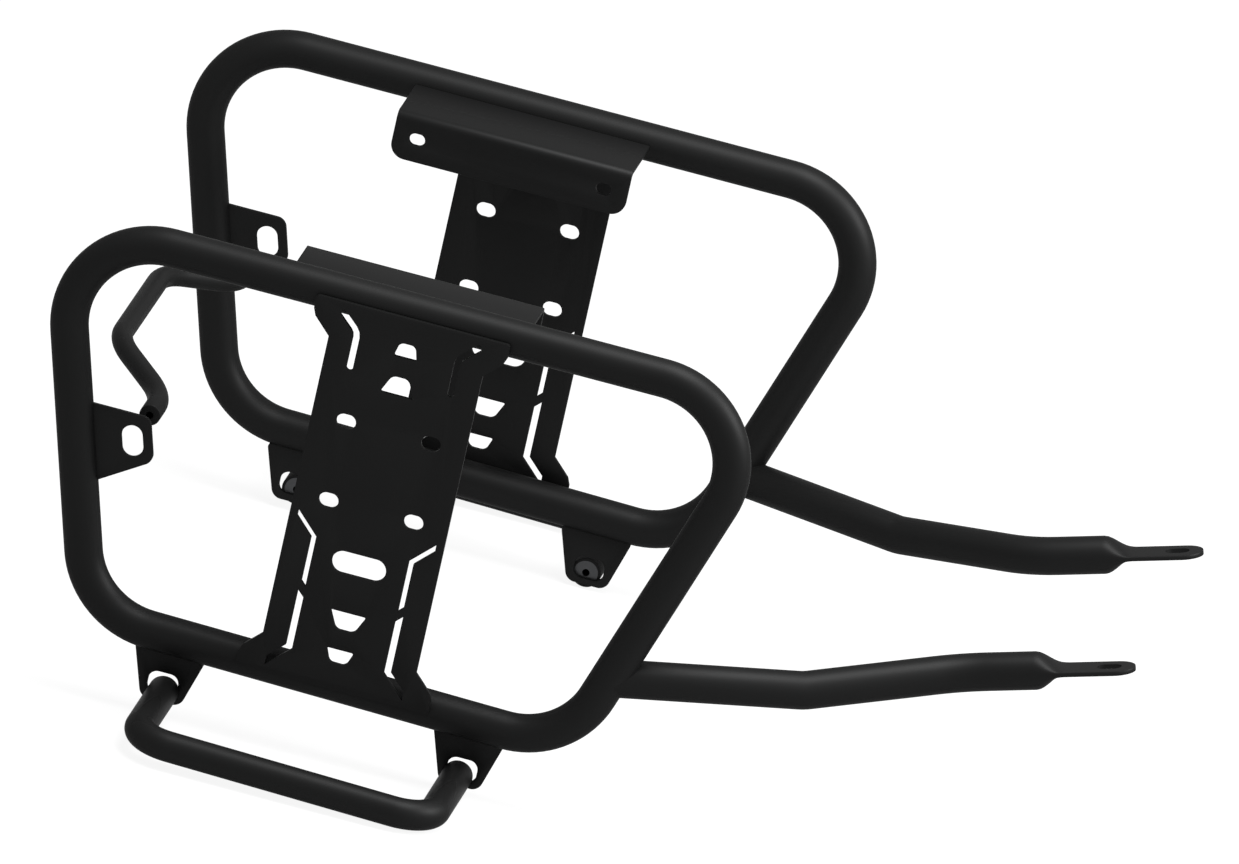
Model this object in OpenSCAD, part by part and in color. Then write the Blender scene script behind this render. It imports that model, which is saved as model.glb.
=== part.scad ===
// Pair of motorcycle pannier frames with a rear brace, in millimetres.
// X runs forward, Y to the left and Z up. It stands on its carrier bars, centred over the origin.

/* [Loop tube] */
// Outside diameter of the loop and arm tubes
tube_d = 25; // [18:0.5:32]
// Wall thickness of the loop and arm tubes
tube_wall = 2; // [1.2:0.1:3]
// Distance of each loop's plane from the middle
loop_y = 225; // [180:1:280]
// Upper rear corner of the loop, forward of the plate's middle
top_rear_x = -237.3; // [-300:0.1:-180]
// Upper front corner of the loop
top_front_x = 242.1; // [180:0.1:300]
// Lower rear corner of the loop
low_rear_x = -167; // [-230:0.1:-120]
// Height of the lower rear corner below the top tube
low_rear_z = -253.9; // [-320:0.1:-200]
// Lower front corner of the loop
low_front_x = 153.9; // [110:0.1:220]
// Height of the lower front corner below the top tube
low_front_z = -259.2; // [-320:0.1:-200]
// Centre line radius of the loop's four bends
loop_bend_r = 56; // [40:1:80]

/* [Mounting plate] */
// Sheet thickness of the plates, brackets and tabs
sheet = 3; // [2:0.5:5]
// Width of the plate between its flared ends
plate_w = 102.6; // [90:0.2:140]
// Height of the plate; its cut-outs move with it
plate_h = 256.6; // [200:0.2:300]
// Width across the flared ends
flare_w = 129; // [104:0.5:160]
// Straight part of each flared end, above the slope
flare_end = 9; // [2:0.5:20]
// Radius of the plate's outer corners
plate_corner_r = 2; // [1:0.5:4]
// Spacing of the four fixing slots along the bike
slot_pitch_x = 56.65; // [40:0.05:80]
// Spacing of the four fixing slots up the plate
slot_pitch_z = 54.5; // [40:0.1:80]
// Height of the slot group's middle below the top tube, on a plate 256.6 high
slot_group_z = -105.6; // [-130:0.1:-80]
// Length of a fixing slot
fix_slot_l = 13; // [10.5:0.5:20]
// Width of a fixing slot
fix_slot_w = 10; // [6:0.5:12]

/* [Plate cut-outs] */
// Distance of the narrow side cut-outs from the plate's middle
rail_x = 32.9; // [30:0.1:40]
// Width of the wide side cut-outs
rail_w = 4.4; // [3:0.1:8]
// Width of the thin side cut-outs
thin_rail_w = 3.2; // [2:0.1:6]
// Centre line radius of the upper side cut-outs' hook
hook_r = 8; // [4:0.5:10]
// Corner radius of the small openings on the plate's middle line
window_corner_r = 1.5; // [0.5:0.1:2]
// Length of the round-ended opening in the plate's middle
window_l = 36; // [20:1:50]
// Width of the round-ended opening
window_w = 15; // [8:1:24]
// Height of that opening, on a plate 256.6 high
window_z = -171; // [-190:1:-150]

/* [Angle bracket] */
// Length of the folded bracket along the tube
bracket_l = 158.5; // [120:0.5:200]
// Middle of the bracket, forward of the plate's middle
bracket_x = -8.75; // [-40:0.25:40]
// Distance of the folded flange's inner face from the middle
flange_y = 152; // [120:1:190]
// Height of the shelf's upper face above the tube's middle
shelf_z = 1.6; // [-4:0.1:6]
// Drop of the flange below the shelf's upper face
flange_drop = 31.8; // [24:0.2:50]
// Outside radius of the fold
fold_r = 5; // [3.5:0.5:8]
// Corner radius of the flange
flange_corner_r = 10; // [4:0.5:12]
// Spacing of the two slots on a bracket 158.5 long; they keep their distance from its ends
bracket_pitch = 126.1; // [90:0.1:150]
// Depth of the bracket slots below the tube's middle
bracket_slot_z = -14.8; // [-22:0.1:-10]
// Length of a bracket slot
bracket_slot_l = 10.5; // [8.5:0.5:16]
// Width of a bracket slot
bracket_slot_w = 8; // [5:0.5:10]

/* [Rear tab] */
// Upper edge of the rear tab
rear_tab_top_z = -115; // [-130:0.5:-105]
// Reach of the rear tab's upper corner
rear_tab_x = -153.8; // [-170:0.1:-150]
// Height of the rear tab
rear_tab_h = 62; // [56:0.5:70]
// Height of its outer edge, which runs along the tube
rear_tab_edge_h = 28.2; // [24:0.2:34]
// Radius of its corners
rear_tab_r = 7; // [3:0.5:9]
// Height of the rear slot's middle
rear_slot_z = -133.1; // [-140:0.1:-126]
// Place of the rear slot's middle
rear_slot_x = -162.3; // [-168:0.1:-156]
// Length of the rear slot
rear_slot_l = 21; // [16:0.5:26]
// Width of the rear slot
rear_slot_w = 14; // [8:0.5:18]

/* [Lower tabs] */
// Distance of the lower tabs' plane from the middle
low_tab_y = 221; // [216:0.5:229]
// Middle of the rear one of the two lower tabs
low_tab_rear_x = -109.1; // [-130:0.1:-80]
// Middle of the front one of the two lower tabs
low_tab_front_x = 91.4; // [60:0.1:110]
// Reach of a lower tab below the bottom tube's middle
low_tab_h = 46.4; // [42:0.2:60]
// Width of a lower tab across its lower corners
low_tab_w = 30; // [22:0.5:40]
// Lean of a lower tab's sides
low_tab_lean = 17; // [5:1:25]
// Radius of a lower tab's lower corners
low_tab_r = 7; // [3:0.5:9]
// Radius of its small corners under the tube
low_tab_top_r = 2.5; // [1:0.5:4]
// Width of the slots in the lower tabs
low_slot_l = 20; // [12:0.5:20]
// Height of the slots in the lower tabs
low_slot_h = 15; // [10:0.5:16]
// Corner radius of these slots
low_slot_r = 6; // [3:0.5:7]

/* [Carrier bars] */
// Outside diameter of the U-shaped carrier bars
bar_d = 20; // [16:0.5:25]
// Wall thickness of the carrier bars
bar_wall = 2; // [1:0.1:4]
// Place of the rear arm of a carrier bar
bar_rear_x = -108; // [-130:0.1:-80]
// Height of the rear arm
bar_rear_z = -293.1; // [-310:0.1:-280]
// Place of the front arm of a carrier bar
bar_front_x = 89.65; // [60:0.05:110]
// Height of the front arm
bar_front_z = -297.3; // [-310:0.1:-280]
// Distance from a bar's end faces to its outer length
bar_reach = 100.5; // [60:0.5:140]
// Centre line radius of the bar's bends
bar_bend_r = 24; // [20:1:40]
// Core diameter of the tapped holes
tapped_d = 5; // [4.2:0.1:6.8]
// Depth of the tapped holes
tapped_depth = 20; // [10:1:30]

/* [Forward arm] */
// Start of the arm on the front tube, as its height
arm_start_z = -206.1; // [-230:0.1:-180]
// First bend of the arm, forward
arm_bend1_x = 290.3; // [250:0.1:320]
// First bend, distance from the middle
arm_bend1_y = 171.6; // [150:0.1:200]
// First bend, height
arm_bend1_z = -199.1; // [-220:0.1:-180]
// Second bend of the arm, forward
arm_bend2_x = 382.3; // [350:0.1:410]
// Distance of the arm's last part from the middle
arm_end_y = 127.6; // [110:0.1:150]
// Second bend, height
arm_bend2_z = -175; // [-190:0.1:-160]
// Fixing hole of the arm, forward
arm_eye_x = 475; // [440:0.5:500]
// Fixing hole of the arm, height
arm_eye_z = -146.8; // [-170:0.1:-120]
// Length of the slot in the flattened end
eye_l = 16; // [10:0.5:20]
// Width of the slot in the flattened end
eye_w = 10; // [6:0.5:12]
// Thickness of the flattened end
blade_t = 3; // [2:0.5:6]

/* [Rear brace] */
// Diameter of the brace bar
brace_d = 14; // [10:0.5:20]
// Distance of the brace's end faces from the middle
brace_end_y = 169.5; // [150:0.5:200]
// Distance of the outer bends from the middle
brace_bend1_y = 128.3; // [110:0.1:140]
// Distance of the inner bends from the middle
brace_bend2_y = 74.3; // [50:0.1:90]
// Rearward set of the brace's middle part
brace_back = 43; // [20:0.5:70]
// Rise of the brace's middle part
brace_rise = 11.7; // [0:0.1:30]
// Centre line radius of the brace's bends
brace_bend_r = 54.5; // [30:0.5:55]

/* [Hidden] */
$fn = 24;

black_coat = [0.1, 0.1, 0.1];
zinc = [0.72, 0.74, 0.76];
lap = 0.5; // reach of a cutting tool past the face it cuts
grip = 0.5; // reach of a straight into the bend that it joins
bend_swell = 0.04; // bends are this much thicker than straights
weld_gap = 0.1; // clearance of the arm's coped end round the front tube

tube_r = tube_d / 2;
plate_y = loop_y + tube_r; // inner face of the mounting plate
normal_plate_h = 256.6; // plate height that the heights of its slots and window are given for
plate_stretch = plate_h / normal_plate_h;
flare_slope = 5; // height of a flare's outer bevel
flare_bevel = 2; // and its width
slope_end = flare_end + flare_slope + (flare_w - plate_w) / 2 - flare_bevel; // flare meets the side
rail_margin = 6.3; // from the side cut-outs' outer ends to the plate's side
top_rail_out = 0.8; // the upper side cut-outs stand this much further out
thin_rail_in = 0.3; // and the thin ones this much further in
normal_bracket_l = 158.5; // bracket length that the slot spacing is given for
bracket_slot_x = (bracket_pitch + bracket_l - normal_bracket_l) / 2;
tab_tuck = 9.5; // reach of the rear tab behind its tube's axis
trim = 400; // side of the square that trims the rear tab along that axis
low_slot_out = 1.8; // the lower tabs' slots lie this much outside the carrier bar's arms
low_slot_rise = 4.1; // and this much above them
tab_face_y = low_tab_y + sheet / 2; // outboard face of the lower tabs
tab_offset = abs(loop_y - low_tab_y) + sheet / 2; // their farther face from the tube's middle

// The loop's corners, clockwise from the upper rear one
top_rear = [top_rear_x, loop_y, 0];
top_front = [top_front_x, loop_y, 0];
low_front = [low_front_x, loop_y, low_front_z];
low_rear = [low_rear_x, loop_y, low_rear_z];
rear_slope = (low_rear_x - top_rear_x) / low_rear_z;
rear_lean = atan(-rear_slope);
front_slope = (low_front_x - top_front_x) / low_front_z;
low_slope = (low_front_z - low_rear_z) / (low_front_x - low_rear_x);
function rear_axis_x(z) = top_rear_x + rear_slope * z;

// The forward arm's points, from the front tube to the slotted eye
arm_start = [top_front_x + front_slope * arm_start_z, loop_y, arm_start_z];
arm_bend1 = [arm_bend1_x, arm_bend1_y, arm_bend1_z];
arm_bend2 = [arm_bend2_x, arm_end_y, arm_bend2_z];
arm_eye = [arm_eye_x, arm_end_y, arm_eye_z];
arm_pitch = atan2(arm_eye_z - arm_bend2_z, arm_eye_x - arm_bend2_x);
arm_bend1_r = 40;
arm_bend2_r = 80;
blade_before = 28; // flat part behind the eye
blade_after = 17; // from the eye to the rounded tip
taper_l = 20; // tube changing into blade
arm_end = arm_eye - (blade_before + taper_l) * [cos(arm_pitch), 0, sin(arm_pitch)];

// The whole frame is moved so that it stands on the ground, centred over the origin
rear_bend_r = loop_bend_r + tube_r;
rear_turn = 90 + rear_lean;
rear_edge_x = top_rear_x + loop_bend_r * (tan(rear_turn / 2)) - rear_bend_r;
arm_tip_x = arm_eye_x + blade_after * cos(arm_pitch) + blade_t / 2 * sin(arm_pitch);
middle_x = (rear_edge_x + arm_tip_x) / 2;
ground_z = min(bar_rear_z, bar_front_z) - bar_d / 2;

function unit(v) = v / norm(v);
function turn(p, q, r) = acos(unit(q - p) * unit(r - q));
function tangent(p, q, r, radius) = radius * tan(turn(p, q, r) / 2);

// Points on the arc of the given radius that rounds the corner at q between p and r
function rounded(p, q, r, radius, steps = 3) =
  let (
    a = unit(q - p),
    b = unit(r - q),
    angle = turn(p, q, r),
    centre = q + unit(b - a) * radius / cos(angle / 2),
    out = unit(q - a * tangent(p, q, r, radius) - centre)
  )
  [for (i = [0 : steps]) centre + radius * (out * cos(angle * i / steps) + a * sin(angle * i / steps))];

// A round bar of diameter d from p to q
module rod(p, q, d) {
  v = q - p;
  translate(p)
    rotate([0, acos(v.z / norm(v)), atan2(v.y, v.x)])
      cylinder(d = d, h = norm(v));
}

// The bend at q between the straights p-q and q-r, as an exact piece of a ring
module bend(p, q, r, radius, d) {
  a = unit(q - p);
  b = unit(r - q);
  angle = turn(p, q, r);
  centre = q + unit(b - a) * radius / cos(angle / 2);
  out = unit(q - a * tangent(p, q, r, radius) - centre);
  n = cross(out, a);
  multmatrix([
    [out.x, a.x, n.x, centre.x],
    [out.y, a.y, n.y, centre.y],
    [out.z, a.z, n.z, centre.z],
    [0, 0, 0, 1]
  ])
    rotate_extrude(angle = angle)
      translate([radius, 0])
        circle(d = d + bend_swell);
}

// A bent bar along points, with one bend radius for each point between the two ends.
// It starts and ends past its first and last point by the two lengths in over.
module bent_bar(points, radii, d, over = [0, 0]) {
  last = len(points) - 1;
  for (i = [0 : last - 1]) {
    p = points[i];
    q = points[i + 1];
    v = unit(q - p);
    start = i == 0 ? -over[0] : tangent(points[i - 1], p, q, radii[i - 1]) - grip;
    stop = i == last - 1 ? -over[1] : tangent(p, q, points[i + 2], radii[i]) - grip;
    rod(p + v * start, q - v * stop, d);
    if (i < last - 1)
      bend(p, q, points[i + 2], radii[i], d);
  }
}

// A sheet part drawn as X and Z, with its inner face at y
module sheet_part(y) {
  translate([0, y + sheet, 0])
    rotate([90, 0, 0])
      linear_extrude(sheet)
        children();
}

// A round-ended slot, l long and w wide, along the drawing's X
module slot(l, w) {
  for (side = [-1, 1])
    translate([side * (l - w) / 2, 0])
      circle(d = w);
  square([l - w, w], center = true);
}

// A rectangle with true round corners
module round_window(l, h, r) {
  square([l, h - 2 * r], center = true);
  square([l - 2 * r, h], center = true);
  for (x = [-1, 1])
    for (z = [-1, 1])
      translate([x * (l / 2 - r), z * (h / 2 - r)])
        circle(r = r);
}

// A cut of width w along a hand-drawn line of points, with round ends
module track(points, w) {
  for (i = [0 : len(points) - 2]) {
    v = points[i + 1] - points[i];
    translate((points[i] + points[i + 1]) / 2)
      rotate(atan2(v.y, v.x))
        slot(norm(v) + w, w);
  }
}

module right_side() {
  mirror([0, 1, 0])
    children();
}

module in_place() {
  translate([-middle_x, 0, -ground_z])
    children();
}

module loop_round(d) {
  corners = [top_rear, top_front, low_front, low_rear];
  for (i = [0 : 3]) {
    p = corners[i];
    q = corners[(i + 1) % 4];
    r = corners[(i + 2) % 4];
    s = corners[(i + 3) % 4];
    v = unit(r - q);
    bend(p, q, r, loop_bend_r, d);
    rod(
      q + v * (tangent(p, q, r, loop_bend_r) - grip),
      r - v * (tangent(q, r, s, loop_bend_r) - grip),
      d
    );
  }
}

module loop_tube() {
  color(black_coat)
    difference() {
      loop_round(tube_d);
      loop_round(tube_d - 2 * tube_wall);
    }
}

// One flared corner of the plate, from its side to its end; the signs pick the corner
function flare(side, end) = [
  [side * plate_w / 2, -plate_h / 2 + end * (plate_h / 2 - slope_end)],
  [side * (flare_w / 2 - flare_bevel), -plate_h / 2 + end * (plate_h / 2 - flare_end - flare_slope)],
  [side * flare_w / 2, -plate_h / 2 + end * (plate_h / 2 - flare_end)],
  [side * flare_w / 2, -plate_h / 2 + end * plate_h / 2]
];
function reverse(list) = [for (i = [len(list) - 1 : -1 : 0]) list[i]];

module round_corners(r) {
  offset(r = r)
    offset(delta = -r)
      children();
}

module plate_outline() {
  round_corners(plate_corner_r)
    polygon(concat(flare(1, 1), reverse(flare(-1, 1)), flare(-1, -1), reverse(flare(1, -1))));
}

// A point on the plate: its distance from the middle, and its depth as a share of the height
function plate_point(x, depth) = [x, -depth * plate_h];

// The narrow cut-outs of one half of the plate
module plate_rails() {
  end_x = plate_w / 2 - rail_margin;
  top_x = rail_x + top_rail_out;
  thin_x = rail_x - thin_rail_in;
  hook = [plate_point(end_x, 0.0292), plate_point(top_x, 0.0701), plate_point(top_x, 0.1637)];
  track(concat([hook[0]], rounded(hook[0], hook[1], hook[2], hook_r), [hook[2]]), rail_w);
  track([plate_point(end_x, 0.5729), plate_point(thin_x, 0.6216), plate_point(thin_x, 0.7444)], thin_rail_w);
  track([plate_point(rail_x, 0.7794), plate_point(rail_x, 0.9197), plate_point(end_x, 0.9665)], rail_w);
}

// The small openings on the plate's middle line, wide sides facing each other's ends.
// Each row holds half the width and the depth of both edges, as shares of the plate.
plate_window_rows = [
  [0.0507, 0.0666, 0.0741, 0.1041],
  [0.0526, 0.1563, 0.1092, 0.2046],
  [0.1160, 0.7942, 0.0585, 0.8430],
  [0.0877, 0.8944, 0.0526, 0.9318]
];
module plate_windows() {
  for (row = plate_window_rows)
    round_corners(window_corner_r)
      polygon([
        plate_point(-row[0] * plate_w, row[1]),
        plate_point(row[0] * plate_w, row[1]),
        plate_point(row[2] * plate_w, row[3]),
        plate_point(-row[2] * plate_w, row[3])
      ]);
  translate([0, window_z * plate_stretch])
    slot(window_l, window_w);
}

module mounting_plate() {
  color(black_coat)
    sheet_part(plate_y)
      difference() {
        plate_outline();
        for (x = [-1, 1])
          for (z = [-1, 1])
            translate([x * slot_pitch_x / 2, slot_group_z * plate_stretch + z * slot_pitch_z / 2])
              slot(fix_slot_l, fix_slot_w);
        plate_rails();
        mirror([1, 0])
          plate_rails();
        plate_windows();
      }
}

module angle_bracket() {
  half_l = bracket_l / 2;
  low_z = shelf_z - flange_drop;
  inner_r = fold_r - sheet;
  color(black_coat)
    difference() {
      translate([bracket_x - half_l, 0, 0])
        rotate([90, 0, 90])
          linear_extrude(bracket_l)
            union() {
              translate([flange_y + fold_r, shelf_z - sheet])
                square([loop_y - flange_y - fold_r, sheet]);
              translate([flange_y, low_z])
                square([sheet, flange_drop - fold_r]);
              intersection() {
                translate([flange_y + fold_r, shelf_z - fold_r])
                  difference() {
                    circle(r = fold_r);
                    circle(r = inner_r);
                  }
                translate([flange_y, shelf_z - fold_r])
                  square(fold_r);
              }
            }
      rod([top_rear_x, loop_y, 0], [top_front_x, loop_y, 0], tube_d);
      for (side = [-1, 1]) {
        translate([bracket_x + side * bracket_slot_x, flange_y + sheet + lap, bracket_slot_z])
          rotate([90, 0, 0])
            linear_extrude(sheet + 2 * lap)
              slot(bracket_slot_l, bracket_slot_w);
        translate([bracket_x + side * half_l, flange_y + sheet + lap, low_z])
          rotate([90, 0, 0])
            linear_extrude(sheet + 2 * lap)
              difference() {
                square(2 * flange_corner_r, center = true);
                translate([-side * flange_corner_r, flange_corner_r])
                  circle(r = flange_corner_r);
              }
      }
    }
}

module rear_tab() {
  low_z = rear_tab_top_z - rear_tab_h;
  color(black_coat)
    difference() {
      sheet_part(loop_y - sheet / 2)
        difference() {
          round_corners(rear_tab_r)
            polygon([
              [rear_axis_x(rear_tab_top_z) - tab_tuck, rear_tab_top_z],
              [rear_tab_x, rear_tab_top_z],
              [rear_tab_x - rear_slope * rear_tab_edge_h, rear_tab_top_z - rear_tab_edge_h],
              [rear_axis_x(low_z) - tab_tuck, low_z]
            ]);
          translate([rear_slot_x, rear_slot_z])
            rotate(90 + rear_lean)
              slot(rear_slot_l, rear_slot_w);
          translate([top_rear_x, 0])
            rotate(rear_lean)
              translate([-trim, -trim])
                square(trim);
        }
      rod(top_rear, low_rear, tube_d);
    }
}

// A lower tab with its middle at x, hanging from the bottom tube
module lower_tab(x, slot_x, slot_z) {
  tube_z = low_rear_z + (x - low_rear_x) * low_slope;
  low_z = tube_z - low_tab_h + low_tab_r;
  top_z = tube_z - sqrt(tube_r * tube_r - tab_offset * tab_offset) - low_tab_top_r + grip;
  low_x = low_tab_w / 2 - low_tab_r;
  top_x = low_x + (low_tab_r - low_tab_top_r) / cos(low_tab_lean) + (top_z - low_z) * tan(low_tab_lean);
  color(black_coat)
    difference() {
      sheet_part(low_tab_y - sheet / 2)
        difference() {
          hull()
            for (side = [-1, 1]) {
              translate([x + side * top_x, top_z])
                circle(r = low_tab_top_r, $fn = 32);
              translate([x + side * low_x, low_z])
                circle(r = low_tab_r, $fn = 32);
            }
          translate([slot_x, slot_z])
            round_window(low_slot_l, low_slot_h, low_slot_r);
        }
      rod(low_rear, low_front, tube_d);
    }
}

module bar_round(d, over) {
  end_y = tab_face_y;
  side_y = tab_face_y + bar_reach;
  points = [
    [bar_rear_x, end_y, bar_rear_z],
    [bar_rear_x, side_y, bar_rear_z],
    [bar_front_x, side_y, bar_front_z],
    [bar_front_x, end_y, bar_front_z]
  ];
  bent_bar(points, [bar_bend_r, bar_bend_r], d, [over, over]);
}

module carrier_bar() {
  color(black_coat)
    difference() {
      bar_round(bar_d, 0);
      bar_round(bar_d - 2 * bar_wall, lap);
    }
}

// A plug set flush into a carrier bar's end, tapped along its middle
module bar_plug(x, z) {
  color(zinc)
    translate([x, tab_face_y, z])
      rotate([-90, 0, 0])
        difference() {
          cylinder(d = bar_d - 2 * bar_wall, h = tapped_depth);
          translate([0, 0, -lap])
            cylinder(d = tapped_d, h = tapped_depth + 2 * lap);
        }
}

// What a press takes off one side of the arm's end; side is 1 above and -1 below
module press(side) {
  length = taper_l + blade_before + blade_after;
  translate([0, tube_r + lap, 0])
    rotate([90, 0, 0])
      linear_extrude(tube_d + 2 * lap)
        polygon([
          [-1, side * (tube_r + lap)],
          [taper_l * 0.4, side * tube_r * 0.75],
          [taper_l + 1 - side, side * blade_t / 2],
          [length + lap, side * blade_t / 2],
          [length + lap, side * (tube_r + lap)]
        ]);
}

// What rounds the arm's tip, seen from above
module tip_trim() {
  length = taper_l + blade_before + blade_after;
  tip_r = tube_r + 1;
  translate([length - tip_r, 0, -blade_t])
    linear_extrude(2 * blade_t)
      difference() {
        translate([0, -tip_r])
          square([tip_r + lap, 2 * tip_r]);
        circle(r = tip_r);
      }
}

module forward_arm() {
  arm_tip = arm_eye + blade_after * [cos(arm_pitch), 0, sin(arm_pitch)];
  points = [arm_start, arm_bend1, arm_bend2, arm_tip];
  bore_points = [arm_start, arm_bend1, arm_bend2, arm_end];
  radii = [arm_bend1_r, arm_bend2_r];
  color(black_coat)
    difference() {
      bent_bar(points, radii, tube_d, [-lap, 0]);
      bent_bar(bore_points, radii, tube_d - 2 * tube_wall, [0, 0]);
      rod(top_front, low_front, tube_d + 2 * weld_gap);
      translate(arm_end)
        rotate([0, -arm_pitch, 0]) {
          press(1);
          press(-1);
          tip_trim();
          translate([taper_l + blade_before, 0, -blade_t])
            linear_extrude(2 * blade_t)
              slot(eye_l, eye_w);
        }
    }
}

module rear_brace() {
  line_x = rear_slot_x;
  line_z = rear_slot_z;
  back_x = line_x - brace_back;
  back_z = line_z + brace_rise;
  points = [
    [line_x, brace_end_y, line_z],
    [line_x, brace_bend1_y, line_z],
    [back_x, brace_bend2_y, back_z],
    [back_x, -brace_bend2_y, back_z],
    [line_x, -brace_bend1_y, line_z],
    [line_x, -brace_end_y, line_z]
  ];
  color(black_coat)
    difference() {
      bent_bar(points, [for (i = [0 : 3]) brace_bend_r], brace_d);
      for (side = [-1, 1])
        rod(
          [line_x, side * (brace_end_y + lap), line_z],
          [line_x, side * (brace_end_y - tapped_depth), line_z],
          tapped_d
        );
    }
}

module lower_tab_rear() {
  lower_tab(low_tab_rear_x, bar_rear_x - low_slot_out, bar_rear_z + low_slot_rise);
}

module lower_tab_front() {
  lower_tab(low_tab_front_x, bar_front_x + low_slot_out, bar_front_z + low_slot_rise);
}

in_place() {
  loop_tube();  // left_loop_tube
  mounting_plate();  // left_mounting_plate
  angle_bracket();  // left_angle_bracket
  rear_tab();  // left_rear_tab
  lower_tab_rear();  // left_lower_tab_rear
  lower_tab_front();  // left_lower_tab_front
  forward_arm();  // left_forward_arm
  carrier_bar();  // left_carrier_bar
  bar_plug(bar_rear_x, bar_rear_z);  // left_bar_plug_rear
  bar_plug(bar_front_x, bar_front_z);  // left_bar_plug_front
  right_side() loop_tube();  // right_loop_tube
  right_side() mounting_plate();  // right_mounting_plate
  right_side() angle_bracket();  // right_angle_bracket
  right_side() rear_tab();  // right_rear_tab
  right_side() lower_tab_rear();  // right_lower_tab_rear
  right_side() lower_tab_front();  // right_lower_tab_front
  right_side() forward_arm();  // right_forward_arm
  right_side() carrier_bar();  // right_carrier_bar
  right_side() bar_plug(bar_rear_x, bar_rear_z);  // right_bar_plug_rear
  right_side() bar_plug(bar_front_x, bar_front_z);  // right_bar_plug_front
  rear_brace();
}
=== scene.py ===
import bpy
import bmesh
import math
from mathutils import Matrix, Vector


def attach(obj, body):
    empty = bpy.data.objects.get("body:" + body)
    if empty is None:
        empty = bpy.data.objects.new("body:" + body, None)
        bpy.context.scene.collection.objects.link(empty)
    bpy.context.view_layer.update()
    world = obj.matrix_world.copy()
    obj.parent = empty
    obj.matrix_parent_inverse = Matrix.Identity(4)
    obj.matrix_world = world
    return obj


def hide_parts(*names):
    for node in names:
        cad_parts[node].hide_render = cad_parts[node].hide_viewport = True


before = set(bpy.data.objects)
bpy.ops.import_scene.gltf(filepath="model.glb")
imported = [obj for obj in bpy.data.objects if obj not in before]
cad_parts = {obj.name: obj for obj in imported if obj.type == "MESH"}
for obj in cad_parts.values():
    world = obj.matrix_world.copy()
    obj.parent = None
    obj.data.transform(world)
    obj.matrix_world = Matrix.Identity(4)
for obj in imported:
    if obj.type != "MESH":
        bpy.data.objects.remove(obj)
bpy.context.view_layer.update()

# Pair of pannier frames in satin black powder coat, with the cross brace between them.
# Sizes are in millimetres: X forward from the plate's middle, Y to the left, Z up from the top tube.

print("frame loaded:", len(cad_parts), "solids")

rackPlace = {"middleX": 129.756, "groundZ": 307.3}  # moves the plate's middle to its place over the floor

meshSet = {
    "touch": 0.02,  # a point this near to a level lies on it
    "join": 0.01,  # points nearer than this become one
    "edge": 0.3,  # width of the softened edges
    "edgeDegrees": 50,  # edges sharper than this are softened
    "edgeSteps": 2,
    "flatAngle": 0.02,  # in radians: faces that meet flatter than this become one
    "smoothDegrees": 34,
    "holeSides": 32,
    "cutDepth": 12,  # length of a cutter through a sheet
}


def at(x, y, z):
    return Vector((x - rackPlace["middleX"], y, z + rackPlace["groundZ"])) * 0.001


def metres(size):
    return size / 1000


def meets(a, b):
    return abs(a - b) < metres(meshSet["touch"])


def startClean():
    if bpy.context.object and bpy.context.object.mode != "OBJECT":
        bpy.ops.object.mode_set(mode="OBJECT")
    bpy.ops.object.select_all(action="DESELECT")


def only(piece):
    startClean()
    piece.select_set(True)
    bpy.context.view_layer.objects.active = piece


def editAll(piece):
    only(piece)
    bpy.ops.object.mode_set(mode="EDIT")
    bpy.ops.mesh.select_all(action="SELECT")


def useModifier(piece, kind, **values):
    only(piece)
    bpy.ops.object.modifier_add(type=kind)
    modifier = piece.modifiers[-1]
    for key, value in values.items():
        setattr(modifier, key, value)
    bpy.ops.object.modifier_apply(modifier=modifier.name)


def applyPlace(piece):
    only(piece)
    bpy.ops.object.transform_apply(location=True, rotation=True, scale=True)


def settle(piece, name):  # the piece's place goes into its mesh, and its object to the origin
    applyPlace(piece)
    piece.name = name
    piece.data.name = name


def outward(piece):
    editAll(piece)
    bpy.ops.mesh.normals_make_consistent(inside=False)
    bpy.ops.object.mode_set(mode="OBJECT")


def pickVerts(piece, test):  # selects by place, then goes into edit mode
    only(piece)
    bpy.ops.object.mode_set(mode="EDIT")
    bpy.ops.mesh.select_mode(type="VERT")
    shape = bmesh.from_edit_mesh(piece.data)
    for v in shape.verts:
        v.select = test(v.co)
    shape.select_flush(True)
    shape.select_flush(False)
    bmesh.update_edit_mesh(piece.data)


def onLevel(z):  # the test for points at this height
    level = at(0, 0, z).z
    return lambda co: meets(co.z, level)


def softenEdges(piece, width=meshSet["edge"]):
    useModifier(piece, "BEVEL", width=metres(width), segments=meshSet["edgeSteps"],
                limit_method="ANGLE", angle_limit=math.radians(meshSet["edgeDegrees"]))


def cutAway(piece, cutter):
    applyPlace(cutter)
    useModifier(piece, "BOOLEAN", object=cutter, operation="DIFFERENCE", solver="EXACT")
    bpy.data.objects.remove(cutter)


viewSet = {
    "right": (0.96077, 0.18431, 0.20728),
    "up": (-0.25450, 0.28879, 0.92293),
    "back": (0.11025, -0.93948, 0.32437),
    "aim": (87.29, -141.11, -1.4),  # along right, up and back from the plate's middle
    "frameWidth": 800,  # what the picture's width shows at the aim
    "lens": 1170,
    "sensor": 36,
    "clip": (1, 80),  # in metres
}


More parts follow.
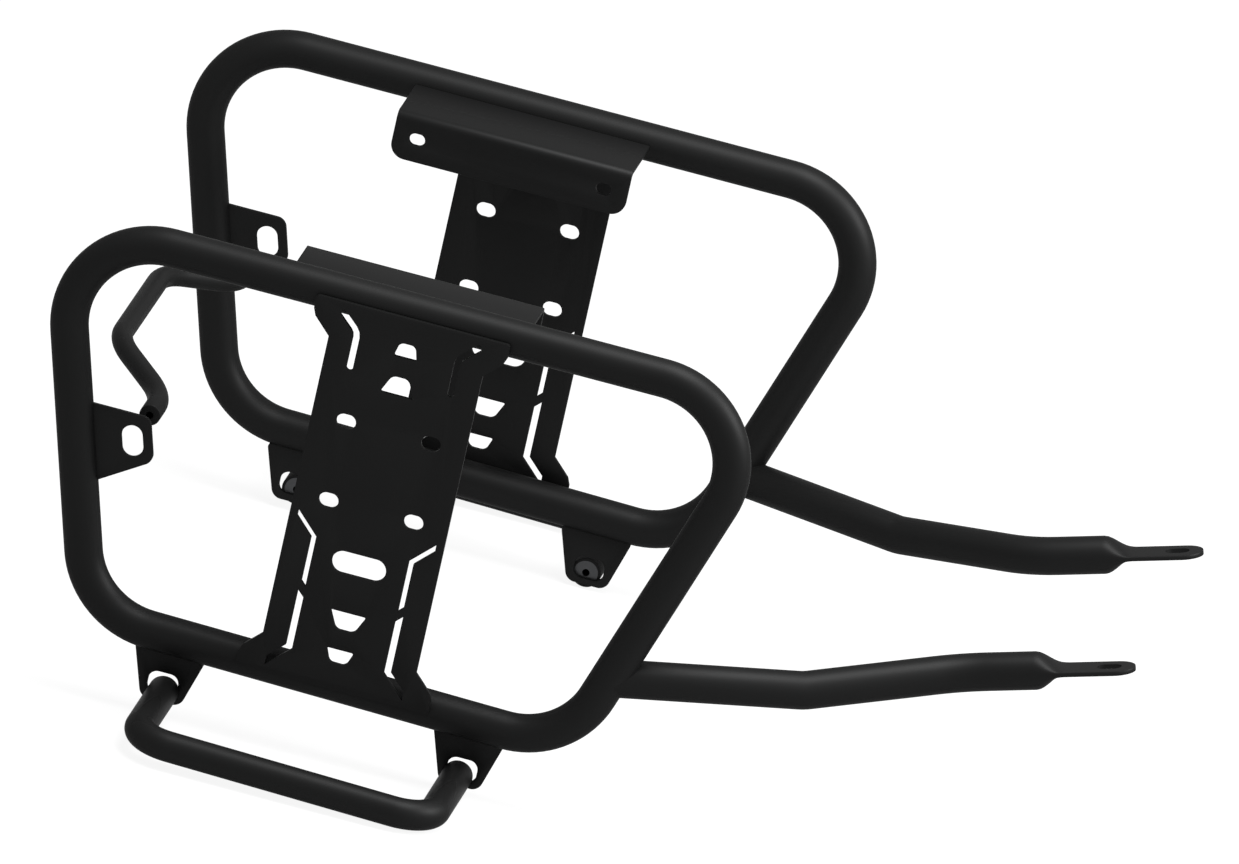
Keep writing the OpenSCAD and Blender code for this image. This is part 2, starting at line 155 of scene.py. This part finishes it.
def makeCamera():
    right, up, back = (Vector(viewSet[k]).normalized() for k in ("right", "up", "back"))
    aim = right * viewSet["aim"][0] + up * viewSet["aim"][1] + back * viewSet["aim"][2]
    distance = metres(viewSet["frameWidth"] * viewSet["lens"] / viewSet["sensor"])
    startClean()
    bpy.ops.object.camera_add(location=at(*aim) + back * distance)
    camera = bpy.context.object
    camera.name = "mainCamera"
    camera.rotation_mode = "QUATERNION"
    camera.rotation_quaternion = Matrix((right, up, back)).transposed().to_quaternion()
    camera.data.sensor_width = viewSet["sensor"]
    camera.data.lens = viewSet["lens"]
    camera.data.clip_start, camera.data.clip_end = viewSet["clip"]
    bpy.context.scene.camera = camera


lightSet = {  # places and sizes in metres, powers in watts
    "softBox": {"place": (0.3, -0.25, 2.4), "size": 1.3, "power": 103},
    "sideBox": {"place": (2.1, 0.0, 1.6), "size": 1.2, "power": 105},
    "target": (0, 0, 0.15),
    "skyLight": 0.4,
}


def makeLights():
    for name in ("softBox", "sideBox"):
        values = lightSet[name]
        place = Vector(values["place"])
        startClean()
        bpy.ops.object.light_add(type="AREA", location=place)
        lamp = bpy.context.object
        lamp.name = name
        lamp.rotation_mode = "QUATERNION"
        lamp.rotation_quaternion = (Vector(lightSet["target"]) - place).to_track_quat("-Z", "Y")
        lamp.data.size = values["size"]
        lamp.data.energy = values["power"]


def newMaterial(name):
    material = bpy.data.materials.new(name)
    material.use_nodes = True
    return material, material.node_tree


def addNode(tree, kind, values=None):
    node = tree.nodes.new(kind)
    for name, value in (values or {}).items():
        node.inputs[name].default_value = value
    return node


def whiteToView(tree, shownWhite, plain):
    # camera, glossy and transmission rays meet plain white; all others meet the plain shader
    path = addNode(tree, "ShaderNodeLightPath")
    first = addNode(tree, "ShaderNodeMath")
    second = addNode(tree, "ShaderNodeMath")
    mix = addNode(tree, "ShaderNodeMixShader")
    first.operation = second.operation = "MAXIMUM"
    tree.links.new(path.outputs["Is Camera Ray"], first.inputs[0])
    tree.links.new(path.outputs["Is Glossy Ray"], first.inputs[1])
    tree.links.new(first.outputs[0], second.inputs[0])
    tree.links.new(path.outputs["Is Transmission Ray"], second.inputs[1])
    tree.links.new(second.outputs[0], mix.inputs[0])
    tree.links.new(plain, mix.inputs[1])
    tree.links.new(shownWhite, mix.inputs[2])
    return mix.outputs[0]


def makeWorld():
    world = bpy.data.worlds.new("whiteStudio")
    bpy.context.scene.world = world
    world.use_nodes = True
    tree = world.node_tree
    tree.nodes.clear()
    white = (1, 1, 1, 1)
    shown = addNode(tree, "ShaderNodeBackground", {"Color": white, "Strength": 1})
    plain = addNode(tree, "ShaderNodeBackground", {"Color": white, "Strength": lightSet["skyLight"]})
    out = addNode(tree, "ShaderNodeOutputWorld")
    tree.links.new(whiteToView(tree, shown.outputs[0], plain.outputs[0]), out.inputs["Surface"])


floorSet = {
    "size": 90,  # in metres, so that its edge is out of sight
    "paper": 0.86,
    "glow": 0.9,
    "drop": 0.6,  # the floor lies this far under the lowest piece
}


def makeFloor():
    startClean()
    bpy.ops.mesh.primitive_plane_add(size=floorSet["size"], location=(0, 0, -metres(floorSet["drop"])))
    floor = bpy.context.object
    settle(floor, "paperFloor")
    paper, tree = newMaterial("whitePaper")
    tree.nodes.clear()
    diffuse = addNode(tree, "ShaderNodeBsdfDiffuse", {"Color": (floorSet["paper"],) * 3 + (1,)})
    glow = addNode(tree, "ShaderNodeEmission", {"Strength": 1})
    shown = addNode(tree, "ShaderNodeMixShader", {0: floorSet["glow"]})  # keeps a faint shadow on the white
    tree.links.new(diffuse.outputs[0], shown.inputs[1])
    tree.links.new(glow.outputs[0], shown.inputs[2])
    out = addNode(tree, "ShaderNodeOutputMaterial")
    tree.links.new(whiteToView(tree, shown.outputs[0], diffuse.outputs[0]), out.inputs["Surface"])
    floor.data.materials.append(paper)


bpy.context.scene.view_settings.view_transform = "Standard"
makeCamera()
makeLights()
makeWorld()
makeFloor()
print("camera, lights and floor ready")


coatSet = {
    "colour": (0.0090, 0.0091, 0.0092, 1),
    "dusty": (0.0110, 0.0111, 0.0110, 1),
    "drift": {"Scale": 9, "Detail": 4},  # slow change over the whole piece
    "roughness": {"To Min": 0.46, "To Max": 0.53},
    "metal": 0.65,  # share of the coat that shines as fine metal flakes do
    "specular": 0.12,
    "edge": (0.35, 0.35, 0.35, 1),  # the coat stays dark where it is seen at a flat angle
    "peel": {"Scale": 850, "Detail": 2},  # the coat's fine skin, about a millimetre across
    "peelBump": {"Strength": 0.35, "Distance": 0.00002},
}


def makeCoat():
    s = coatSet
    coat, tree = newMaterial("satinBlackCoat")
    shader = tree.nodes["Principled BSDF"]
    shader.inputs["Metallic"].default_value = s["metal"]
    shader.inputs["Specular IOR Level"].default_value = s["specular"]
    shader.inputs["Specular Tint"].default_value = s["edge"]
    coords = addNode(tree, "ShaderNodeTexCoord")
    drift = addNode(tree, "ShaderNodeTexNoise", s["drift"])
    tone = addNode(tree, "ShaderNodeMix")
    tone.data_type = "RGBA"
    tone.inputs["A"].default_value = s["colour"]
    tone.inputs["B"].default_value = s["dusty"]
    rough = addNode(tree, "ShaderNodeMapRange", s["roughness"])
    peel = addNode(tree, "ShaderNodeTexNoise", s["peel"])
    bump = addNode(tree, "ShaderNodeBump", s["peelBump"])
    tree.links.new(coords.outputs["Object"], drift.inputs["Vector"])
    tree.links.new(coords.outputs["Object"], peel.inputs["Vector"])
    tree.links.new(drift.outputs["Fac"], tone.inputs["Factor"])
    tree.links.new(drift.outputs["Fac"], rough.inputs["Value"])
    tree.links.new(peel.outputs["Fac"], bump.inputs["Height"])
    tree.links.new(tone.outputs["Result"], shader.inputs["Base Color"])
    tree.links.new(rough.outputs["Result"], shader.inputs["Roughness"])
    tree.links.new(bump.outputs["Normal"], shader.inputs["Normal"])
    return coat


steelSet = {
    "colour": (0.055, 0.056, 0.058, 1),
    "roughness": {"To Min": 0.32, "To Max": 0.5},
    "grain": {"Scale": 900},
}


def makeSteel():
    s = steelSet
    steel, tree = newMaterial("darkTurnedSteel")
    shader = tree.nodes["Principled BSDF"]
    shader.inputs["Metallic"].default_value = 1
    shader.inputs["Base Color"].default_value = s["colour"]
    coords = addNode(tree, "ShaderNodeTexCoord")
    grain = addNode(tree, "ShaderNodeTexNoise", s["grain"])
    rough = addNode(tree, "ShaderNodeMapRange", s["roughness"])
    tree.links.new(coords.outputs["Object"], grain.inputs["Vector"])
    tree.links.new(grain.outputs["Fac"], rough.inputs["Value"])
    tree.links.new(rough.outputs["Result"], shader.inputs["Roughness"])
    return steel


satinCoat = makeCoat()
turnedSteel = makeSteel()


def dress(piece, node):
    outward(piece)
    bpy.ops.object.shade_smooth_by_angle(angle=math.radians(meshSet["smoothDegrees"]))
    piece.data.materials.clear()
    piece.data.materials.append(satinCoat)
    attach(piece, "root")
    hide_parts(node)


def bothSides(piece, part):  # the piece stands on the left, and a mirrored copy of it on the right
    ending = part[0].upper() + part[1:].replace("_", "")
    settle(piece, "left" + ending)
    only(piece)
    bpy.ops.object.duplicate()
    twin = bpy.context.object
    twin.scale.y = -1
    settle(twin, "right" + ending)
    dress(piece, "left_" + part)
    dress(twin, "right_" + part)


tubeSet = {
    "sides": 48,
    "bendStep": 4,  # degrees between two rings of a bend
    "leastSteps": 4,
}


def startRing(place, direction, diameter, sides):
    startClean()
    turn = direction.to_track_quat("Z", "Y").to_euler()
    bpy.ops.mesh.primitive_circle_add(
        vertices=sides, radius=metres(diameter / 2), location=place, rotation=turn)
    ring = bpy.context.object
    applyPlace(ring)
    editAll(ring)
    return ring


def pushOut(step):
    bpy.ops.mesh.extrude_region_move(TRANSFORM_OT_translate={"value": step})


def bendRoute(route, radii, diameter, sides=tubeSet["sides"]):
    # an open bar: straights are pushed and bends are spun; it stays in edit mode at its last ring
    bar = startRing(route[0], route[1] - route[0], diameter, sides)
    place = route[0]
    for p, q, r, radius in zip(route, route[1:], route[2:], radii):
        a, b = (q - p).normalized(), (r - q).normalized()
        angle = a.angle(b)
        reach = metres(radius) * math.tan(angle / 2)
        pushOut(q - a * reach - place)
        centre = q + (b - a).normalized() * metres(radius) / math.cos(angle / 2)
        steps = max(tubeSet["leastSteps"], round(math.degrees(angle) / tubeSet["bendStep"]))
        bpy.ops.mesh.spin(steps=steps, angle=-angle, center=centre, axis=a.cross(b).normalized())
        place = q + b * reach
    pushOut(route[-1] - place)
    return bar


def closeEnds(bar):
    bpy.ops.mesh.select_all(action="SELECT")
    bpy.ops.mesh.fill_holes(sides=0)
    bpy.ops.object.mode_set(mode="OBJECT")
    outward(bar)


loopSet = {
    "plane": 225,
    "diameter": 25,
    "bend": 56,
    # X and Z where the tube's middle lines cross: top rear, top front, low front, low rear
    "corners": [(-237.3, 0), (242.1, 0), (153.9, -259.2), (-167, -253.9)],
}


def makeLoop():
    s = loopSet
    topRear, topFront, lowFront, lowRear = (at(x, s["plane"], z) for x, z in s["corners"])
    middle = (topRear + topFront) / 2
    route = [middle, topFront, lowFront, lowRear, topRear, middle]
    loop = bendRoute(route, [s["bend"]] * len(s["corners"]), s["diameter"])
    bpy.ops.mesh.select_all(action="SELECT")
    bpy.ops.mesh.remove_doubles(threshold=metres(meshSet["join"]))
    bpy.ops.object.mode_set(mode="OBJECT")
    bothSides(loop, "loop_tube")


carrierSet = {
    "diameter": 20,
    "wall": 2,
    "bend": 24,
    "seat": 222.5,
    "reach": 100.5,  # outward from the seat to the middle of the long tube
    "rear": (-108, -293.1),  # X and Z of each end
    "front": (89.65, -297.3),
    "plugDepth": 20,
    "plugRoom": 0.2,  # the pocket is this much deeper than the plug
    "edge": 0.4,
}


def makeCarrier():
    s = carrierSet
    outerY = s["seat"] + s["reach"]
    (rearX, rearZ), (frontX, frontZ) = s["rear"], s["front"]
    route = [at(rearX, s["seat"], rearZ), at(rearX, outerY, rearZ),
             at(frontX, outerY, frontZ), at(frontX, s["seat"], frontZ)]
    bar = bendRoute(route, [s["bend"]] * 2, s["diameter"])
    closeEnds(bar)
    # each end is opened by a pocket that holds the tapped plug
    pickVerts(bar, lambda co: meets(co.y, metres(s["seat"])))
    bpy.ops.mesh.inset(thickness=metres(s["wall"]), use_individual=True)
    pushOut((0, metres(s["plugDepth"] + s["plugRoom"]), 0))
    bpy.ops.object.mode_set(mode="OBJECT")
    softenEdges(bar, s["edge"])
    bothSides(bar, "carrier_bar")


braceSet = {
    "diameter": 14,
    "sides": 36,
    "bend": 54.5,
    "line": (-162.3, -133.1),  # X and Z of both ends
    "ends": 169.5,
    "bends": (128.3, 74.3),  # Y of the two bends on each side
    "back": 43,  # the middle part lies this far behind the ends, and above them by the rise
    "rise": 11.7,
    "edge": 0.8,
    "tapped": 5,
    "tappedDepth": 20,
    "tappedStart": 2,  # the cutter starts this far outside the bar's end
}


def makeBrace():
    s = braceSet
    x, z = s["line"]
    half = [(x, s["ends"], z), (x, s["bends"][0], z), (x - s["back"], s["bends"][1], z + s["rise"])]
    route = [at(*p) for p in half] + [at(p[0], -p[1], p[2]) for p in reversed(half)]
    bar = bendRoute(route, [s["bend"]] * 4, s["diameter"], s["sides"])
    closeEnds(bar)
    softenEdges(bar, s["edge"])
    for side in (-1, 1):
        mouth = at(x, side * (s["ends"] + (s["tappedStart"] - s["tappedDepth"]) / 2), z)
        startClean()
        bpy.ops.mesh.primitive_cylinder_add(
            vertices=meshSet["holeSides"], radius=metres(s["tapped"] / 2), location=mouth,
            depth=metres(s["tappedDepth"] + s["tappedStart"]), rotation=(math.pi / 2, 0, 0))
        cutAway(bar, bpy.context.object)
    settle(bar, "rearBrace")
    dress(bar, "rear_brace")


def slotCutter(length, width, sides=meshSet["holeSides"]):  # a round-ended prism along X, standing on Z
    startClean()
    bpy.ops.mesh.primitive_cylinder_add(vertices=sides, radius=metres(width / 2),
                                        depth=metres(meshSet["cutDepth"]), rotation=(0, 0, math.pi / sides))
    cutter = bpy.context.object
    applyPlace(cutter)
    for end in (-1, 1):
        pickVerts(cutter, lambda co: co.x * end > 0)
        bpy.ops.transform.translate(value=(metres(end * (length - width) / 2), 0, 0))
        bpy.ops.object.mode_set(mode="OBJECT")
    return cutter


armSet = {
    "diameter": 25,
    "points": [(290.3, 171.6, -199.1), (382.3, 127.6, -175.0)],  # where its middle lines cross
    "startHeight": -206.1,  # where it leaves the front tube's middle line
    "bends": (40, 80),
    "eye": (475, 127.6, -146.8),  # the slot's middle
    "blade": 3,
    "beforeEye": 28,  # the flat blade reaches this far before and after the slot's middle
    "afterEye": 17,
    "taper": 20,
    "taperSteps": 8,
    "tipDegrees": (0, 12, 24, 36, 48, 60, 70, 79, 86),  # places of the rings round the blade's tip
    "bladeSide": 0.3,  # points of the tube below this share of its radius form the blade's round sides
    "slot": (16, 10),
    "slotSides": 24,
}


def shapeRing(arm, centre, up, halfWidth, roundness):
    # roundness 1 is the full tube and 0 the pressed flat blade
    s = armSet
    shape = bmesh.from_edit_mesh(arm.data)
    for v in shape.verts:
        if v.select:
            angle = v[shape.verts.layers.float["ringAngle"]]
            wide, high = math.cos(angle), math.sin(angle)
            flat = math.copysign(min(1, abs(high) / s["bladeSide"]), high) * metres(s["blade"] / 2)
            lift = flat + (high * metres(s["diameter"] / 2) - flat) * roundness
            v.co = centre + Vector((0, wide * halfWidth, 0)) + up * lift
    bmesh.update_edit_mesh(arm.data)


def makeArm():
    s = armSet
    (topX, topZ), (lowX, lowZ) = loopSet["corners"][1:3]
    startX = topX + (lowX - topX) * s["startHeight"] / lowZ
    start = at(startX, loopSet["plane"], s["startHeight"])
    firstBend, lastBend, eye = (at(*p) for p in s["points"] + [s["eye"]])
    axis = (eye - lastBend).normalized()
    up = Vector((0, -1, 0)).cross(axis).normalized()
    place = eye - axis * metres(s["beforeEye"] + s["taper"])
    arm = bendRoute([start, firstBend, lastBend, place], s["bends"], s["diameter"])
    # each point keeps its angle round the tube, and the rings that follow are shaped from it
    shape = bmesh.from_edit_mesh(arm.data)
    ringAngle = shape.verts.layers.float.new("ringAngle")
    for v in shape.verts:
        if v.select:
            out = v.co - place
            v[ringAngle] = math.atan2(out.dot(up), out.y)
    bmesh.update_edit_mesh(arm.data)
    tubeR = metres(s["diameter"] / 2)
    tipCentre = eye + axis * (metres(s["afterEye"]) - tubeR)
    rings = []
    for step in range(1, s["taperSteps"] + 1):
        t = step / s["taperSteps"]
        rings.append((place + axis * metres(s["taper"]) * t, tubeR, 1 - t * t * (3 - 2 * t)))
    for turn in map(math.radians, s["tipDegrees"]):
        rings.append((tipCentre + axis * tubeR * math.sin(turn), tubeR * math.cos(turn), 0))
    for centre, halfWidth, roundness in rings:
        pushOut(centre - place)
        shapeRing(arm, centre, up, halfWidth, roundness)
        place = centre
    closeEnds(arm)
    softenEdges(arm)
    slot = slotCutter(*s["slot"], s["slotSides"])
    slot.rotation_mode = "QUATERNION"
    slot.rotation_quaternion = Matrix((axis, up.cross(axis), up)).transposed().to_quaternion()
    slot.location = eye
    cutAway(arm, slot)
    bothSides(arm, "forward_arm")


def sheetPlane(corners, y):  # one flat face through the corners, facing along Y
    startClean()
    bpy.ops.mesh.primitive_plane_add(size=1, rotation=(math.pi / 2, 0, 0))
    face = bpy.context.object
    applyPlace(face)
    wanted = sorted(corners, key=lambda c: (c[1], c[0]))
    have = sorted(face.data.vertices, key=lambda v: (round(v.co.z, 3), v.co.x))
    for v, (x, z) in zip(have, wanted):
        v.co = at(x, y, z)
    return face


def thicken(face, thickness):  # half of it goes on each side
    useModifier(face, "SOLIDIFY", thickness=metres(thickness), offset=0, use_even_offset=True)
    outward(face)


def roundCorners(face, test, reach, steps):
    pickVerts(face, test)
    bpy.ops.mesh.bevel(affect="VERTICES", offset=metres(reach), segments=steps)
    bpy.ops.object.mode_set(mode="OBJECT")


def cutOutline(sheet, face):  # cuts the outline of a flat face out of a sheet
    thicken(face, meshSet["cutDepth"])
    cutAway(sheet, face)


def cutSlot(sheet, size, x, y, z, degrees=0, sides=meshSet["holeSides"]):
    # the cutter is turned to face along Y and then laid at its angle
    cutter = slotCutter(*size, sides)
    cutter.rotation_euler = (math.pi / 2, 0, 0)
    applyPlace(cutter)
    cutter.rotation_euler = (0, -math.radians(degrees), 0)
    cutter.location = at(x, y, z)
    cutAway(sheet, cutter)


plateSet = {
    "inner": 237.5,  # Y of its inner face
    "sheet": 3,
    "width": 102.6,
    "height": 256.6,
    "flare": 129,
    "flareEnd": 9,
    "flareTurn": (2, 5),  # width and height of the steeper part between a flare's slope and its end
    "corner": (2, 5),  # reach and steps
    "slotPitch": (56.65, 54.5),
    "slotMiddle": -105.6,
    "slot": (13, 10),
    "window": (36, 15),
    "windowHeight": -171,
    "windowSides": 40,
    "hookWide": 4.4,
    "hook": [(45, -7.5), (36.3, -15.6), (34.4, -18.3), (33.7, -21.5), (33.7, -42)],
    "hookSides": 16,
    # narrow cut-outs: width, middle line and the directions in which the two ends are cut
    "strips": [
        (3.2, [(46, -146), (32.6, -159.5), (32.6, -192.1)], [(0, 1), (1, 1)]),
        (4.4, [(32.9, -198.9), (32.9, -236), (45.9, -248.9)], [(1, 1), (0, 1)]),
    ],
    # top half-width, top, bottom half-width, bottom of each opening on the middle line
    "openings": [(5.2, -17.1, 7.6, -26.7), (5.4, -40.1, 11.2, -52.5),
                 (11.9, -203.8, 6, -216.3), (9, -229.5, 5.4, -239.1)],
    "broadCorner": (1.3, 5),  # reach and steps at an opening's broad end
    "narrowCorner": (3, 6),
}


def flaredFace(y):  # the plate's outline, pushed out from its middle part to both flared ends
    s = plateSet
    half, wide = s["width"] / 2, s["flare"] / 2
    shoulder = wide - s["flareTurn"][0]
    rises = ((shoulder - half, shoulder), (s["flareTurn"][1], wide), (s["flareEnd"], wide))
    highZ = -sum(rise for rise, width in rises)
    lowZ = -highZ - s["height"]
    plate = sheetPlane([(-half, highZ), (half, highZ), (-half, lowZ), (half, lowZ)], y)
    for end, edgeZ in ((1, highZ), (-1, lowZ)):
        now = half
        for rise, width in rises:
            pickVerts(plate, onLevel(edgeZ))
            pushOut((0, 0, metres(end * rise)))
            bpy.ops.transform.resize(value=(width / now, 1, 1), center_override=at(0, y, 0))
            bpy.ops.object.mode_set(mode="OBJECT")
            edgeZ += end * rise
            now = width
    editAll(plate)
    bpy.ops.mesh.dissolve_limited(angle_limit=meshSet["flatAngle"])
    bpy.ops.object.mode_set(mode="OBJECT")
    return plate


def cutHook(plate, side, y):  # a chain of slots along the hook's line
    s = plateSet
    for (x1, z1), (x2, z2) in zip(s["hook"], s["hook"][1:]):
        size = (math.hypot(x2 - x1, z2 - z1) + s["hookWide"], s["hookWide"])
        lean = math.degrees(math.atan2(z2 - z1, side * (x2 - x1)))
        cutSlot(plate, size, side * (x1 + x2) / 2, y, (z1 + z2) / 2, lean, s["hookSides"])


def cutStrip(plate, side, y, width, line, ends):  # a strip along the line, mitred at its bends
    spots = [Vector((side * x, z)) for x, z in line]
    first, last = (Vector((side * x, z)) for x, z in ends)
    across = [Vector((a.y - b.y, b.x - a.x)).normalized() for a, b in zip(spots, spots[1:])]
    cuts = [first] + [a + b for a, b in zip(across, across[1:])] + [last]
    outline = []
    for spot, cut, normal in zip(spots, cuts, across + across[-1:]):
        reach = cut * (width / 2 / cut.dot(normal))
        outline += [spot - reach, spot + reach]
    startClean()
    bpy.ops.mesh.primitive_grid_add(x_subdivisions=len(line) - 1, y_subdivisions=1, size=1)
    face = bpy.context.object
    have = sorted(face.data.vertices, key=lambda v: (round(v.co.x, 3), v.co.y))
    for v, spot in zip(have, outline):
        v.co = at(spot.x, y, spot.y)
    cutOutline(plate, face)


def makePlate():
    s = plateSet
    y = s["inner"] + s["sheet"] / 2
    plate = flaredFace(y)
    for z in (0, -s["height"]):
        roundCorners(plate, onLevel(z), *s["corner"])
    thicken(plate, s["sheet"])
    pitchX, pitchZ = s["slotPitch"]
    for x in (-pitchX / 2, pitchX / 2):
        for z in (-pitchZ / 2, pitchZ / 2):
            cutSlot(plate, s["slot"], x, y, s["slotMiddle"] + z)
    cutSlot(plate, s["window"], 0, y, s["windowHeight"], sides=s["windowSides"])
    for side in (-1, 1):
        cutHook(plate, side, y)
        for strip in s["strips"]:
            cutStrip(plate, side, y, *strip)
    for top, topZ, low, lowZ in s["openings"]:
        face = sheetPlane([(-top, topZ), (top, topZ), (-low, lowZ), (low, lowZ)], y)
        narrow, broad = (topZ, lowZ) if top < low else (lowZ, topZ)
        roundCorners(face, onLevel(broad), *s["broadCorner"])
        roundCorners(face, onLevel(narrow), *s["narrowCorner"])
        cutOutline(plate, face)
    softenEdges(plate)
    bothSides(plate, "mounting_plate")


bracketSet = {
    "length": 158.5,
    "middle": -8.75,
    "flange": 152,  # Y of its inner face
    "tubeSide": 212.6,  # Y of the shelf's edge at the tube
    "shelf": 1.6,  # height of the shelf's upper face
    "drop": 31.8,  # from there down to the flange's lower edge
    "sheet": 3,
    "fold": 5,  # outer radius
    "foldSteps": 8,
    "corner": (10, 10),  # reach and steps
    "pitch": 126.1,
    "slotHeight": -14.8,
    "slot": (10.5, 8),
}


def makeBracket():
    s = bracketSet
    shelfZ, flangeY = s["shelf"] - s["sheet"] / 2, s["flange"] + s["sheet"] / 2
    x1, x2 = s["middle"] - s["length"] / 2, s["middle"] + s["length"] / 2
    lowZ = s["shelf"] - s["drop"]
    bracket = sheetPlane([(x1, lowZ), (x2, lowZ), (x1, shelfZ), (x2, shelfZ)], flangeY)
    onShelf = onLevel(shelfZ)
    pickVerts(bracket, onShelf)  # the flange's top edge becomes the shelf
    pushOut((0, metres(s["tubeSide"] - flangeY), 0))
    bpy.ops.object.mode_set(mode="OBJECT")
    roundCorners(bracket, onLevel(lowZ), *s["corner"])
    pickVerts(bracket, lambda co: onShelf(co) and meets(co.y, metres(flangeY)))
    bpy.ops.mesh.bevel(affect="EDGES", offset=metres(s["fold"] - s["sheet"] / 2), segments=s["foldSteps"])
    bpy.ops.object.mode_set(mode="OBJECT")
    thicken(bracket, s["sheet"])
    for x in (s["middle"] - s["pitch"] / 2, s["middle"] + s["pitch"] / 2):
        cutSlot(bracket, s["slot"], x, flangeY, s["slotHeight"])
    softenEdges(bracket)
    bothSides(bracket, "angle_bracket")


rearTabSet = {
    "corners": [(-200, -115), (-153.8, -115), (-146, -143.2), (-190, -171.9)],
    "freeX": -170,  # the corners in front of this are rounded; the others lie inside the tube
    "corner": (5.2, 8),  # reach and steps
    "sheet": 3,
    "slot": (21, 14),
    "slotPlace": (-162.3, -133.1),
    "slotLean": 105.5,
}


def makeRearTab():
    s = rearTabSet
    x, z = s["slotPlace"]
    tab = sheetPlane(s["corners"], loopSet["plane"])
    roundCorners(tab, lambda co: co.x > at(s["freeX"], 0, 0).x, *s["corner"])
    thicken(tab, s["sheet"])
    cutSlot(tab, s["slot"], x, loopSet["plane"], z, s["slotLean"])
    softenEdges(tab)
    bothSides(tab, "rear_tab")


lowTabSet = {
    "rear": {"middle": -109.1, "slot": (-109.8, -289.0)},
    "front": {"middle": 91.4, "slot": (91.45, -293.2)},
    "plane": 221,
    "height": 46.4,
    "start": 10.7,  # its upper edge is this far below the tube's middle, just inside the tube
    "width": 26.4,
    "lean": 17,
    "sheet": 3,
    "corner": (5.2, 8),  # reach and steps
    "topCorner": (3.4, 4),
    "slot": (20, 15),
    "slotCorner": (6, 8),
}


def makeLowTab(which):
    s = lowTabSet
    x = s[which]["middle"]
    (x2, z2), (x1, z1) = loopSet["corners"][2:4]
    tubeZ = z1 + (x - x1) * (z2 - z1) / (x2 - x1)
    highZ, lowZ = tubeZ - s["start"], tubeZ - s["height"]
    low = s["width"] / 2
    top = low + (highZ - lowZ) * math.tan(math.radians(s["lean"]))
    tab = sheetPlane([(x - top, highZ), (x + top, highZ), (x - low, lowZ), (x + low, lowZ)], s["plane"])
    roundCorners(tab, onLevel(lowZ), *s["corner"])
    roundCorners(tab, onLevel(highZ), *s["topCorner"])
    thicken(tab, s["sheet"])
    (slotX, slotZ), (wide, high) = s[which]["slot"], s["slot"]
    corners = [(slotX + i * wide / 2, slotZ + k * high / 2) for i in (-1, 1) for k in (-1, 1)]
    face = sheetPlane(corners, s["plane"])
    roundCorners(face, lambda co: True, *s["slotCorner"])
    cutOutline(tab, face)
    softenEdges(tab)
    bothSides(tab, "lower_tab_" + which)


makeLoop()
print("loops bent")
makeCarrier()
makeBrace()
makeArm()
print("carrier bars, brace and arms bent")
makePlate()
print("plates cut")
makeBracket()
makeRearTab()
makeLowTab("rear")
makeLowTab("front")
print("brackets and tabs folded and cut")

for side in ("left", "right"):  # the plugs keep their solids, in plain turned steel
    for end in ("rear", "front"):
        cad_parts[side + "_bar_plug_" + end].material_slots[0].material = turnedSteel
